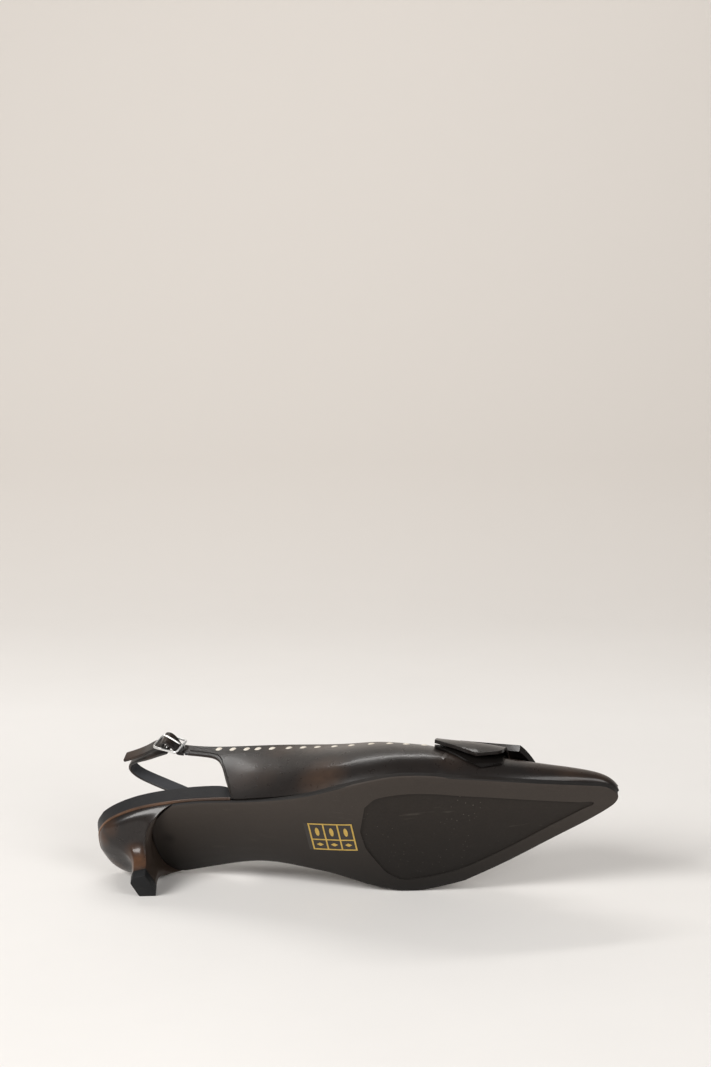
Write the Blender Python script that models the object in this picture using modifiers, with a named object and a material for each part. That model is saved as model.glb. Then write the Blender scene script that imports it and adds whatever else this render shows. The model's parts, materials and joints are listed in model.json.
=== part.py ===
"""A right slingback pump with a pointed toe and a kitten heel, lying on its medial side.

Every piece is modelled standing, in millimetres: X runs from the heel seat to the toe, +Y is the medial
side and Z is the height above the ground. One empty then lays the whole shoe down on its side.
"""

import math

import bmesh
import bpy
import numpy as np
from mathutils import Matrix, Vector

MM = 0.001  # metres in a millimetre
GAP = 0.3  # clearance between neighbouring pieces

MEDIAL = 1
LATERAL = -1

WALL = 1.6  # leather and lining of the upper
WAIST_EDGE = 1.5  # outsole at the waist
TREAD_EDGE = 3.0  # outsole at the forefoot
WAIST_TO_TREAD = (85.0, 135.0)  # where it grows from one to the other
EDGE_ROUND = {1: 0.8, 0.985: 0.25}  # how far the sole's lower edge is rounded up, by share of the half width
FEATHER_WAIST, FEATHER_TREAD = 0.8, -0.7  # how far the upper's lower edge stands past the sole's
FEATHER_RUN = (90.0, 130.0)
PANEL_DEPTH = 0.6  # recess under the forefoot
PANEL_REAR, PANEL_FRONT = 139.0, 253.0
PANEL_MARGIN = {MEDIAL: 8.5, LATERAL: 11.5}
PANEL_ROUND = 14.0  # length of the panel's rounded rear end
RAND = 1.8  # burnished strip under the heel seat
RAND_PROUD = 0.3
SEAT_RIM = 8.8  # height of the footbed's rim behind the quarters
SEAT_CUP = 3.0  # hollow of the heel seat
SEAT_END = 73.5  # the rim stops where the quarters begin
SEAT_TO_FOREFOOT = (78.0, 128.0)  # the footbed thins from the rim's height to the forefoot's over this
SEAT_ROUND = 12.0  # the cup starts this far behind the seat's back edge
INSOLE = 3.0  # footbed inside the upper
INSOLE_TOE = 256.0
INSOLE_INSET = (1.3, 3.0)  # from the sole's edge, at the quarters and from the waist on
INSOLE_INSET_RUN = 45.0
INSOLE_DROP = (80.0, 88.0)  # inside the quarters the footbed comes down to the outsole
BACK_LEAN, BACK_RUN = 0.2, 18.0  # the back of the shoe leans in under the seat's rim, over this length
BACK_TOP, BACK_FOOT = 43.0, 28.0  # between these heights
BREAST = 30.0  # heel breast at the middle of the sole
BREAST_WING = {MEDIAL: 11.0, LATERAL: 17.0}  # how far the heel's wings reach forward of it
BREAST_POWER = {MEDIAL: 4.5, LATERAL: 3.0}  # how sharply the wings leave it
BREAST_FADE = 40.0  # the outsole's rows straighten out over this length ahead of it
LIFT_HEIGHT = 5.0
LIFT_BACK = [(29.2, -5.3), (22.6, -5.0), (20.6, -2.0), (22.3, 7.6), (30.4, 9.2)]  # round the back of the tip
LIFT_FRONT = [(30.4, 9.2), (31.2, 5.6), (29.2, -5.3)]  # and across its front
TOE_BEND, BEND_START = 2.57, 150.0  # the toe turns in towards the medial side

QUARTER_BASE = 79.5  # rear end of the quarters at the sole
STUB_END = 51.0  # rear end of the strap stubs cut in one with the quarters
QUARTER_REACH = 38.0  # the slant of the quarters' rear edge dies out over this length
THROAT = 188.0
TOE_TIP = 265.7

STRAP_WIDTH, STRAP_THICK = 7.6, 1.6
STUB_RINGS = 5  # a strap starts square to its stub and turns upright over this many rings
STRAP_UP = Vector((0.30, 0.0, 0.954))  # the strap's width stands along the back of the ankle
BUCKLE_LENGTH, BUCKLE_WIDTH, BUCKLE_WIRE = 17.4, 11.0, 1.4
BUCKLE_CORNER = 1.6
PRONG_WIRE = 1.1
PRONG_LINE = [(1.2, 5.5), (-0.8, 5.3), (-3.0, 4.4), (-5.6, 3.0), (-8.4, 1.75)]  # along the strap, off it

BOW_REAR, BOW_FRONT = 182.0, 214.5
BOW_SEAT = 0.35  # height of the bow off the vamp
PLY_SPAN = {MEDIAL: 35.5, LATERAL: 46.5}  # the ply on the vamp, from the crest to the end of a wing
PLY_THICK = 0.9
PLY_REAR_RUN, PLY_REAR_CLIP = 5.0, 15.0  # the rear corners of the wings are cut off
PLY_FRONT_RUN, PLY_FRONT_CLIP = 10.0, 11.0  # and so are the front ones
WING_SPAN = {MEDIAL: 35.0, LATERAL: 44.0}  # the stiff ply over it, whose wings stand off
WING_THICK = 1.7
WING_LIFT, WING_LIFT_RUN = 2.4, 28.0
WING_CURL, WING_CURL_RUN = 1.2, (186.0, 202.0)  # the rear corners bend back to the vamp
WING_FLAT = 0.4  # share of the lift that is lost at the rear edge
WING_REAR_RUN, WING_REAR_CLIP = 4.0, 15.0
WING_FRONT_RUN, WING_FRONT_CLIP = 11.0, 13.0
WING_ENDS = [0, 1.5, 3, 4.5, 6.5, 9]  # closer rings towards a wing's end
LOOP_REAR, LOOP_FRONT, LOOP_DROP = 190.0, 227.0, 8.0
LOOP_SPAN, LOOP_THICK = {MEDIAL: 17.5, LATERAL: 17.5}, 3.2
LOOP_CLIP_RUN, LOOP_CLIP = 9.5, 7.0
BAND_SPAN, BAND_THICK = {MEDIAL: 4.5, LATERAL: 4.5}, 1.4
BAND_OVERHANG, BAND_SETBACK = 1.5, 0.5


SOLE_SHARES = [1, 0.985, 0.94, 0.84, 0.68, 0.4, 0, -0.4, -0.68, -0.84, -0.94, -0.985, -1]  # across the sole


def table(columns, rows):
    names = columns.split()
    return {name: np.array([row[i] for row in rows], dtype=float) for i, name in enumerate(names)}


# Half widths of the sole to each side of the centre line, and the height of its lower edge.
SOLE = table("x medial lateral bottom camber", [
    (0, 0.5, 0.2, 30.3, 0.0),
    (1.2, 6.6, 6.5, 30.27, 0.0),
    (3, 10.6, 10.4, 30.2, 0.0),
    (12, 18.2, 17.4, 29.8, 0.3),
    (30, 23.2, 22.3, 28.8, 1.0),
    (55, 20.8, 24.1, 25.6, 2.2),
    (85, 15.3, 26.3, 16.8, 2.2),
    (115, 20.5, 31.6, 6.8, 0.8),
    (140, 32.0, 38.3, 0.9, 0.0),
    (152, 36.6, 39.7, 0.0, 0.0),
    (160, 38.0, 39.8, 0.0, 0.0),
    (180, 36.6, 36.1, 0.0, 0.0),
    (188, 34.0, 33.3, 0.0, 0.0),
    (205, 28.3, 27.4, 0.7, 0.0),
    (230, 18.5, 18.3, 2.1, 0.0),
    (250, 11.0, 11.3, 3.5, 0.0),
    (260, 6.3, 7.5, 4.3, 0.0),
    (262.5, 4.6, 5.5, 4.5, 0.0),
    (264, 2.9, 3.4, 4.6, 0.0),
    (264.7, 1.6, 1.9, 4.68, 0.0),
    (265, 0.5, 0.6, 4.7, 0.0),
])

# The widest line of the upper: half widths and heights on the two sides.
BULGE = table("x medial medial_up lateral lateral_up", [
    (51, 15.2, 50, 24.4, 42),
    (75, 21.4, 48, 26.6, 36),
    (86, 24.6, 48, 27.8, 33),
    (98, 26.3, 46, 29.8, 29),
    (112, 28.3, 38, 33.2, 25),
    (127, 31.2, 26, 37.2, 19),
    (143, 34.6, 14, 40.4, 13),
    (160, 38.4, 10, 41.4, 10),
    (180, 37.0, 9.5, 37.7, 9.5),
    (205, 28.9, 9.5, 29.1, 9.5),
    (230, 19.4, 9.8, 20.2, 9.8),
    (250, 12.6, 9.6, 13.1, 9.6),
    (260, 7.6, 9.6, 8.5, 9.6),
    (264.3, 3.4, 9.8, 3.8, 9.8),
    (TOE_TIP, 0.0, 9.9, 0.0, 9.9),
])

# Where each wall ends behind the throat. The lean is the wall's angle from upright there, and the fullness
# is 0.55 for a round section and more for a square one.
TOPLINE = table("x medial medial_up lateral lateral_up lean fullness", [
    (51, 14.5, 72.5, -23.2, 71.5, 6, 0.40),
    (62, 17.5, 68.5, -24.3, 65.8, 7, 0.40),
    (75, 20.8, 64.5, -25.0, 61.7, 10, 0.40),
    (86, 24.0, 62.0, -25.2, 59.0, 13, 0.40),
    (98, 25.8, 59.5, -25.4, 56.3, 17, 0.40),
    (112, 27.0, 55.5, -25.7, 52.5, 24, 0.40),
    (127, 27.6, 51.2, -26.2, 48.0, 29, 0.40),
    (143, 28.2, 46.0, -28.2, 42.4, 33, 0.39),
    (155, 29.2, 41.4, -30.6, 37.9, 36, 0.37),
    (165, 28.6, 37.6, -29.8, 35.2, 40, 0.35),
    (174, 27.4, 34.9, -28.4, 33.3, 42.5, 0.35),
    (181, 24.8, 34.5, -25.8, 32.9, 46.5, 0.37),
    (185.2, 18.6, 37.1, -19.0, 35.9, 57, 0.385),
    (187.2, 11.0, 39.9, -9.5, 39.7, 71, 0.42),
    (THROAT, 2.0, 41.3, 2.0, 41.3, 90, 0.48),
])

# The crest of the vamp, which both walls run up to ahead of the throat. The bow lies over it a little further
# back as well.
CREST = table("x y up fullness", [
    (172, 2.0, 49.0, 0.47),
    (179, 2.0, 45.5, 0.48),
    (190, 2.0, 40.4, 0.50),
    (205, 2.0, 34.0, 0.54),
    (220, 1.6, 28.4, 0.58),
    (235, 1.0, 23.6, 0.62),
    (250, 0.5, 20.0, 0.65),
    (258, 0.2, 17.4, 0.65),
    (262.4, 0.0, 15.2, 0.65),
    (265, 0.0, 13.0, 0.65),
    (TOE_TIP, 0.0, 11.9, 0.65),
])

# The quarters' rear edge, from the sole (0) to the topline (1): it curves into the strap's lower edge.
REAR_EDGE = table("up x", [
    (0.00, QUARTER_BASE),
    (0.20, 77.0),
    (0.30, 75.6),
    (0.45, 74.4),
    (0.60, 72.9),
    (0.70, 71.4),
    (0.77, 69.4),
    (0.81, 66.4),
    (0.832, 61.5),
    (0.842, STUB_END),
    (1.00, STUB_END),
])

# How far the heel's section has drawn in from the seat (0) to the tip (1), by depth below the seat: the bowl,
# and the wings ahead of the breast, which draw back faster than they draw in.
HEEL_BOWL = table("depth bowl wing_in wing_back", [
    (0.00, 0.00, 0.00, 0.00),
    (0.06, 0.02, 0.06, 0.28),
    (0.14, 0.09, 0.18, 0.52),
    (0.24, 0.31, 0.31, 0.73),
    (0.36, 0.63, 0.47, 0.88),
    (0.48, 0.86, 0.68, 0.97),
    (0.62, 0.96, 0.88, 1.00),
    (0.80, 1.00, 0.98, 1.00),
    (1.00, 1.00, 1.00, 1.00),
])

# The sling: from the medial stub round the back of the heel to the buckle.
SLING_ROUTE = [
    (50.6, 14.3, 68.7),
    (41.0, 11.4, 74.4),
    (31.0, 9.0, 80.6),
    (23.0, 6.8, 85.4),
    (17.4, 3.8, 88.2),
    (14.8, -0.6, 89.2),
    (16.2, -5.0, 88.0),
    (21.0, -8.8, 85.2),
    (28.0, -12.6, 81.2),
    (35.4, -17.2, 77.0),
    (42.0, -21.2, 73.2),
]
SLING_WIDTH = 6.9

# The lateral strap: on from the stub, under, over and under the buckle's bars, then the free tail.
TAIL_ROUTE = [
    (50.6, -23.0, 67.8),
    (48.2, -22.6, 69.3),
    (46.4, -25.9, 70.6),
    (43.4, -28.6, 72.7),
    (41.0, -27.5, 74.2),
    (39.4, -23.0, 75.5),
    (36.8, -21.7, 77.4),
    (32.6, -19.4, 79.3),
    (27.0, -16.0, 81.2),
    (20.6, -13.4, 82.8),
    (14.6, -11.5, 84.2),
]
TAIL_TIP = 6.2  # the tail narrows towards its end

SIDEWAYS = 0.7  # least sideways part of the downward direction of a shoe on its side

BUCKLE_CENTRE = Vector((43.4, -24.9, 72.5))
BUCKLE_ALONG = Vector((-0.82, 0.06, 0.57))  # the frame's length follows the strap, rising to the back


def smooth(xs, ys, x):
    """A cubic curve through a table's rows that never overshoots them."""
    x = min(max(x, xs[0]), xs[-1])
    i = int(min(max(np.searchsorted(xs, x) - 1, 0), len(xs) - 2))
    slopes = np.diff(ys) / np.diff(xs)

    def tangent(k):
        if k in (0, len(xs) - 1):
            return slopes[min(k, len(slopes) - 1)]
        before, after = slopes[k - 1], slopes[k]
        return 0.0 if before * after <= 0 else 2 * before * after / (before + after)

    step = xs[i + 1] - xs[i]
    u = (x - xs[i]) / step
    return ((1 + 2 * u) * (1 - u) ** 2 * ys[i] + u * (1 - u) ** 2 * step * tangent(i)
            + u * u * (3 - 2 * u) * ys[i + 1] + u * u * (u - 1) * step * tangent(i + 1))


def ramp(x, start, end):
    return min(max((x - start) / (end - start), 0), 1)


def read(rows, column, x):
    return smooth(rows["x"], rows[column], x)


def side_name(side):
    return "medial" if side == MEDIAL else "lateral"


def toe_bend(x):
    run = (x - BEND_START) / (SOLE["x"][-1] - BEND_START)
    return TOE_BEND * max(run, 0.0) ** 1.5


def sole_edge(x, side):
    return side * read(SOLE, side_name(side), x) + toe_bend(x)


def sole_bottom(x):
    return read(SOLE, "bottom", x)


def sole_top(x):
    return sole_bottom(x) + WAIST_EDGE + (TREAD_EDGE - WAIST_EDGE) * ramp(x, *WAIST_TO_TREAD)


def across(x, share, inset=0.0):
    """A point across the sole: share runs from 1 on the medial edge to -1 on the lateral one."""
    medial = sole_edge(x, MEDIAL) - inset
    lateral = sole_edge(x, LATERAL) + inset
    return (medial + lateral) / 2 + share * (medial - lateral) / 2


def breast(share):
    """The heel's breast line, hollow in the middle with a wing at each side."""
    side = MEDIAL if share > 0 else LATERAL
    return BREAST + BREAST_WING[side] * abs(share) ** BREAST_POWER[side]


def lean_back(x, z):
    """How far the back of the shoe has leaned forward at a height under the seat's rim."""
    return BACK_LEAN * (BACK_TOP - max(z, BACK_FOOT)) * (1 - ramp(x, 0, BACK_RUN)) ** 2


def finish(name, colour, roughness, metallic=0.0):
    material = bpy.data.materials.new(name)
    material.use_nodes = True
    shader = material.node_tree.nodes["Principled BSDF"]
    shader.inputs["Base Color"].default_value = (*colour, 1.0)
    shader.inputs["Roughness"].default_value = roughness
    shader.inputs["Metallic"].default_value = metallic
    return material


def new_object(name, mesh_maker, material, group):
    mesh = bpy.data.meshes.new(name)
    mesh_maker.to_mesh(mesh)
    mesh_maker.free()
    piece = bpy.data.objects.new(name, mesh)
    group.objects.link(piece)
    mesh.materials.append(material)
    mesh.shade_smooth()
    mesh.set_sharp_from_angle(angle=math.radians(35))
    return piece


def loft(name, rings, material, group):
    """A closed solid through a row of rings that have equal numbers of points."""
    bm = bmesh.new()
    loops = [[bm.verts.new(Vector(point) * MM) for point in ring] for ring in rings]
    count = len(loops[0])
    for one, two in zip(loops, loops[1:]):
        for k in range(count):
            bm.faces.new((one[k], one[(k + 1) % count], two[(k + 1) % count], two[k]))
    bm.faces.new(loops[0])
    bm.faces.new(loops[-1])
    bmesh.ops.recalc_face_normals(bm, faces=bm.faces)
    return new_object(name, bm, material, group)


def section(x, side, closed=False):
    """One wall of the upper at a station: feather edge, widest point, topline, or crest if it is closed."""
    name = side_name(side)
    bend = toe_bend(x)
    bulge_half = read(BULGE, name, x)
    tuck = FEATHER_WAIST + (FEATHER_TREAD - FEATHER_WAIST) * ramp(x, *FEATHER_RUN)
    feather_half = min(abs(sole_edge(x, side) - bend) + tuck, max(bulge_half - 0.3, 0.0))
    feather = np.array([side * feather_half + bend, sole_top(x) + GAP])
    bulge = np.array([side * bulge_half + bend, read(BULGE, name + "_up", x)])
    if closed or x >= THROAT:
        top = np.array([read(CREST, "y", x) + bend, read(CREST, "up", x)])
        lean = math.pi / 2
        fullness = read(CREST, "fullness", x)
    else:
        top = np.array([read(TOPLINE, name, x) + bend, read(TOPLINE, name + "_up", x)])
        lean = math.radians(read(TOPLINE, "lean", x))
        fullness = read(TOPLINE, "fullness", x)
    lower = [feather + (bulge - feather) * np.array([1 - (1 - u) ** 1.6, u ** 1.3])
             for u in np.linspace(0, 1, 13)]
    inward = np.array([-side * math.sin(lean), math.cos(lean)])
    reach = np.abs(top - bulge) @ np.abs(inward)
    hold = [bulge, bulge + [0, fullness * (top - bulge)[1]], top - fullness * reach * inward, top]
    upper = [(1 - u) ** 3 * hold[0] + 3 * u * (1 - u) ** 2 * hold[1] + 3 * u * u * (1 - u) * hold[2]
             + u ** 3 * hold[3] for u in np.linspace(0, 1, 33)[1:]]
    return np.array(lower + upper)


def wall_point(x, side, up, closed=False):
    """A point on the outside of the upper, by its share of the way up the wall."""
    line = section(x, side, closed)
    run = np.concatenate([[0], np.cumsum(np.linalg.norm(np.diff(line, axis=0), axis=1))])
    y = np.interp(up * run[-1], run, line[:, 0])
    z = np.interp(up * run[-1], run, line[:, 1])
    return Vector((x, y, z))


def vamp_point(x, round_crest, stand):
    """A point over the vamp: distance round from the crest (medial +), and height off the leather."""

    def surface(at, around):
        side = MEDIAL if around >= 0 else LATERAL
        line = section(at, side, True)
        length = np.linalg.norm(np.diff(line, axis=0), axis=1).sum()
        return wall_point(at, side, 1 - abs(around) / length, True)

    forward = surface(x + 1.0, round_crest) - surface(x - 1.0, round_crest)
    sideways = surface(x, round_crest + 1.0) - surface(x, round_crest - 1.0)
    return surface(x, round_crest) + float(stand) * forward.cross(sideways).normalized()


def make_outsole(material, group, cutters):
    stations = [BREAST, 33, 38, *np.linspace(44, 256, 41), 259, 261.2, 262.8, 264, 264.6, 265]
    rings = []
    for station in stations:
        fade = (1 - ramp(station, BREAST, BREAST + BREAST_FADE)) ** 2
        lower, upper = [], []
        for share in SOLE_SHARES:
            x = station + (breast(share) - BREAST + GAP) * fade
            camber = read(SOLE, "camber", x) * (1 - abs(share) ** 2.5)
            z = sole_bottom(x) - camber + EDGE_ROUND.get(abs(share), 0)
            lower.append((x, across(x, share), z))
            upper.append((x, across(x, share), sole_top(x)))
        rings.append(lower + upper[::-2])
    outsole = loft("outsole", rings, material, group)

    panel_rings = []
    for x in np.linspace(PANEL_REAR, PANEL_FRONT, 20):
        rounding = math.sqrt(1 - max(1 - (x - PANEL_REAR + 0.4) / PANEL_ROUND, 0) ** 2)
        medial = sole_edge(x, MEDIAL) - PANEL_MARGIN[MEDIAL]
        lateral = sole_edge(x, LATERAL) + PANEL_MARGIN[LATERAL]
        middle = (medial + lateral) / 2
        half = max((medial - lateral) / 2, 1.0) * rounding
        roof = sole_bottom(x) + PANEL_DEPTH
        panel_rings.append([(x, middle - half, roof), (x, middle + half, roof),
                            (x, middle + half, roof - 4), (x, middle - half, roof - 4)])
    panel = loft("panel_cutter", panel_rings, material, cutters)
    panel.hide_render = True
    panel.display_type = "WIRE"
    cut = outsole.modifiers.new("forefoot panel", "BOOLEAN")
    cut.operation = "DIFFERENCE"
    cut.object = panel


def along_corners(corners, count):
    """Evenly spaced points from the first corner of an open outline to the last."""
    corners = np.array(corners)
    run = np.concatenate([[0], np.cumsum(np.linalg.norm(np.diff(corners, axis=0), axis=1))])
    return [(np.interp(s, run, corners[:, 0]), np.interp(s, run, corners[:, 1]))
            for s in np.linspace(0, run[-1], count)]


def seat_outline(sides):
    """The heel's top edge from the lateral wing tip round the back to the medial one."""
    points = []
    for share in np.linspace(-1, 1, sides):
        side = MEDIAL if share > 0 else LATERAL
        x = breast(side) * abs(share) ** 2.2
        points.append((x, sole_edge(max(x, 0.05), side)))
    return points


def make_heel(heel_finish, lift_finish, group):
    sides, front = 29, len(SOLE_SHARES)
    seat = seat_outline(sides)
    seat += [(breast(share), across(breast(share), share)) for share in SOLE_SHARES[1:-1]]
    tip = along_corners(LIFT_BACK, sides) + along_corners(LIFT_FRONT, front)[1:-1]
    rings = []
    for depth, bowl, wing_in, wing_back in zip(*HEEL_BOWL.values()):
        ring = []
        for (x, y), (tip_x, tip_y) in zip(seat, tip):
            wing = ramp(x, BREAST, breast(MEDIAL if y > 0 else LATERAL))
            back = bowl + (wing_back - bowl) * wing
            inward = bowl + (wing_in - bowl) * wing
            z = sole_top(x) * (1 - depth) + (LIFT_HEIGHT + GAP) * depth
            x += lean_back(x, z)
            ring.append((x + (tip_x - x) * back, y + (tip_y - y) * inward, z))
        rings.append(ring)
    loft("heel", rings, heel_finish, group)
    tread = [[(x, y, z) for x, y in tip] for z in (LIFT_HEIGHT, 0.0)]
    loft("top_lift", tread, lift_finish, group)


def make_rand(material, group):
    rings = []
    for x in [0, 1.2, 3, 7, 12, 20, 30, 42, 55, 67, QUARTER_BASE - 1.5]:
        low = sole_top(x) + GAP
        rings.append([(x - RAND_PROUD + lean_back(x, z), across(x, share, -RAND_PROUD), z)
                      for z, shares in ((low, (1, 0, -1)), (low + RAND, (-1, 0, 1))) for share in shares])
    loft("seat_rand", rings, material, group)


def make_insole(material, group):
    seat_stations = [0, 1.2, 3, 7, 12, 20, 30, 42, 55, 65, SEAT_END]
    inner_stations = [75.2, 80, 88, 98, 110, 125, 140, 155, 170, 185, 200, 215, 230, 242, 250, INSOLE_TOE]
    shares = [1, 0.97, 0.8, 0.45, 0, -0.45, -0.8, -0.97, -1]
    rings = []
    for x in seat_stations + inner_stations:
        seat = x <= SEAT_END
        near, far = INSOLE_INSET
        inset = 0 if seat else near + (far - near) * ramp(x, SEAT_END, SEAT_END + INSOLE_INSET_RUN)
        low = sole_top(x) + GAP + (RAND + GAP) * (1 - ramp(x, *INSOLE_DROP))
        seat_share = 1 - ramp(x, *SEAT_TO_FOREFOOT)
        thick = INSOLE + (SEAT_RIM - INSOLE) * seat_share
        cup = SEAT_CUP * ramp(x, 0, SEAT_ROUND) * seat_share
        lower = [(x + lean_back(x, low), across(x, share, inset), low) for share in (1, 0.5, 0, -0.5, -1)]
        upper = [(x, across(x, share, inset), low + thick - cup * (1 - share ** 4) - 0.5 * (abs(share) == 1))
                 for share in shares[::-1]]
        rings.append(lower + upper)
    loft("insole", rings, material, group)


def make_upper(material, group):
    columns = [QUARTER_BASE, 82, 86, 91, 97, 104, 112, 121, 131, 141, 150, 158, 166, 173, 178.5, 182, 184.4,
               186, 187.2, THROAT, 192, 199, 208, 217, 226, 235, 244, 252, 257.5, 261.5, 263.8, 265, TOE_TIP]
    rows = [0, 0.09, 0.18, 0.27, 0.36, 0.45, 0.54, 0.62, 0.69, 0.75, 0.79, 0.82, 0.842, 0.895, 0.95, 1.0]
    bm = bmesh.new()
    for side in (MEDIAL, LATERAL):
        grid = []
        for station in columns:
            fade = (1 - ramp(station, QUARTER_BASE, QUARTER_BASE + QUARTER_REACH)) ** 2.2
            line = []
            for up in rows:
                x = station + (smooth(REAR_EDGE["up"], REAR_EDGE["x"], up) - QUARTER_BASE) * fade
                line.append(bm.verts.new(wall_point(x, side, up) * MM))
            grid.append(line)
        for one, two in zip(grid, grid[1:]):
            for j in range(len(rows) - 1):
                face = (one[j], two[j], two[j + 1], one[j + 1])
                bm.faces.new(face if side == LATERAL else face[::-1])
    bmesh.ops.remove_doubles(bm, verts=bm.verts, dist=0.02 * MM)
    upper = new_object("upper", bm, material, group)
    shell = upper.modifiers.new("leather and lining", "SOLIDIFY")
    shell.thickness = WALL * MM
    shell.offset = -1
    return upper


def route_points(route, count):
    """Evenly spaced points on a smooth curve through a route's own points."""
    knots = np.array(route, dtype=float)
    run = np.concatenate([[0], np.cumsum(np.linalg.norm(np.diff(knots, axis=0), axis=1))])
    return [Vector([smooth(run, knots[:, axis], s) for axis in range(3)])
            for s in np.linspace(0, run[-1], count)]


def make_strap(name, route, count, width_from, width_to, material, group):
    points = route_points(route, count)
    rings = []
    for k, point in enumerate(points):
        along = (points[min(k + 1, count - 1)] - points[max(k - 1, 0)]).normalized()
        taper = max(2 * k / (count - 1) - 1, 0)
        half = (width_from + (width_to - width_from) * taper) / 2
        upright = (STRAP_UP - STRAP_UP.dot(along) * along).normalized()
        width = Vector((0, 0, 1)).lerp(upright, min(k / STUB_RINGS, 1)).normalized() * half
        depth = along.cross(width).normalized() * STRAP_THICK / 2
        rings.append([point + width + depth, point + width - depth,
                      point - width - depth, point - width + depth])
    return loft(name, rings, material, group)


def make_wire(name, points, diameter, cyclic, material, group):
    curve = bpy.data.curves.new(name, "CURVE")
    curve.dimensions = "3D"
    curve.bevel_depth = diameter / 2 * MM
    curve.bevel_resolution = 2
    curve.use_fill_caps = not cyclic
    spline = curve.splines.new("POLY")
    spline.points.add(len(points) - 1)
    for knot, point in zip(spline.points, points):
        knot.co = (*(Vector(point) * MM), 1.0)
    spline.use_cyclic_u = cyclic
    curve.materials.append(material)
    wire = bpy.data.objects.new(name, curve)
    group.objects.link(wire)


def make_buckle(material, group):
    along = BUCKLE_ALONG.normalized()
    width = (STRAP_UP - STRAP_UP.dot(along) * along).normalized()
    out = width.cross(along)
    half_length = (BUCKLE_LENGTH - BUCKLE_WIRE) / 2
    half_width = (BUCKLE_WIDTH - BUCKLE_WIRE) / 2
    frame = []
    for quarter in range(4):
        turn_x = (1, -1, -1, 1)[quarter] * (half_length - BUCKLE_CORNER)
        turn_y = (1, 1, -1, -1)[quarter] * (half_width - BUCKLE_CORNER)
        for step in range(5):
            angle = math.pi / 2 * (quarter + step / 4)
            frame.append(BUCKLE_CENTRE + along * (turn_x + BUCKLE_CORNER * math.cos(angle))
                         + width * (turn_y + BUCKLE_CORNER * math.sin(angle)))
    make_wire("buckle_frame", frame, BUCKLE_WIRE, True, material, group)
    bar_half = half_width - BUCKLE_WIRE / 2 - GAP
    make_wire("buckle_bar", [BUCKLE_CENTRE - width * bar_half, BUCKLE_CENTRE + width * bar_half],
              PRONG_WIRE, False, material, group)
    prong = [BUCKLE_CENTRE + along * reach + out * rise
             for reach, rise in PRONG_LINE]
    make_wire("buckle_prong", prong, PRONG_WIRE, False, material, group)


def wing_stand(x, round_crest):
    """The stiff ply lies on the lower one at the crest, and its wings lift off it towards their ends."""
    off_crest = abs(round_crest)
    rear = 1 - ramp(x, *WING_CURL_RUN)
    lift = WING_LIFT * ramp(off_crest, 0, WING_LIFT_RUN) ** 1.3 * (1 - WING_FLAT * rear)
    curl = WING_CURL * ramp(off_crest, WING_LIFT_RUN, WING_SPAN[LATERAL]) * rear
    return BOW_SEAT + PLY_THICK + GAP + lift - curl


def loop_stand(x, round_crest):
    """The loop lies on the wings and drops to the vamp at its front end."""
    drop = max((x - LOOP_FRONT) / LOOP_DROP + 1, 0) ** 2
    over = wing_stand(x, round_crest) + WING_THICK + GAP
    return over - (over - BOW_SEAT) * drop


def make_bow_layer(name, spans, ends, steps, rear, front, stand, thick, material, group):
    inner = np.linspace(ends[-1] - spans[LATERAL], spans[MEDIAL] - ends[-1], steps)
    lateral_end = [end - spans[LATERAL] for end in ends[:-1]]
    medial_end = [spans[MEDIAL] - end for end in ends[-2::-1]]
    rings = []
    for around in [*lateral_end, *inner, *medial_end]:
        to_end = spans[MEDIAL if around > 0 else LATERAL] - abs(around)
        stations = np.linspace(rear(to_end), front(to_end), 7)
        lower = [vamp_point(x, around, stand(x, around)) for x in stations]
        upper = [vamp_point(x, around, stand(x, around) + thick) for x in stations[::-1]]
        rings.append(lower + upper)
    return loft(name, rings, material, group)


def make_bow(material, group):
    def clip(to_end, run, depth):
        return depth * max(1 - to_end / run, 0)

    make_bow_layer("bow_under", PLY_SPAN, WING_ENDS, 15,
                   lambda to_end: BOW_REAR + clip(to_end, PLY_REAR_RUN, PLY_REAR_CLIP),
                   lambda to_end: BOW_FRONT - clip(to_end, PLY_FRONT_RUN, PLY_FRONT_CLIP),
                   lambda x, around: BOW_SEAT, PLY_THICK, material, group)
    make_bow_layer("bow_wings", WING_SPAN, WING_ENDS, 15,
                   lambda to_end: BOW_REAR + clip(to_end, WING_REAR_RUN, WING_REAR_CLIP),
                   lambda to_end: BOW_FRONT - clip(to_end, WING_FRONT_RUN, WING_FRONT_CLIP),
                   wing_stand, WING_THICK, material, group)
    make_bow_layer("bow_loop", LOOP_SPAN, [0], 15,
                   lambda to_end: LOOP_REAR,
                   lambda to_end: LOOP_FRONT - clip(to_end, LOOP_CLIP_RUN, LOOP_CLIP),
                   loop_stand, LOOP_THICK, material, group)
    make_bow_layer("bow_band", BAND_SPAN, [0], 5,
                   lambda to_end: LOOP_REAR - BAND_OVERHANG, lambda to_end: LOOP_FRONT - BAND_SETBACK,
                   lambda x, around: loop_stand(x, around) + LOOP_THICK + GAP, BAND_THICK, material, group)


def solids(group):
    """Vertices and triangles of every finished piece, in the shoe's standing frame."""
    bpy.context.view_layer.update()
    depsgraph = bpy.context.evaluated_depsgraph_get()
    for piece in group.objects:
        if piece.type == "EMPTY":
            continue
        evaluated = piece.evaluated_get(depsgraph)
        mesh = evaluated.to_mesh()
        mesh.calc_loop_triangles()
        points = np.array([vertex.co[:] for vertex in mesh.vertices])
        corners = np.array([triangle.vertices[:] for triangle in mesh.loop_triangles])
        evaluated.to_mesh_clear()
        yield points, corners


def centre_of_mass(pieces):
    volume, moment = 0.0, np.zeros(3)
    for points, corners in pieces:
        a, b, c = (points[corners[:, k]] for k in range(3))
        share = np.einsum("ij,ij->i", a, np.cross(b, c)) / 6
        volume += share.sum()
        moment += ((a + b + c) / 4 * share[:, None]).sum(axis=0)
    return Vector(moment / volume)


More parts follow.
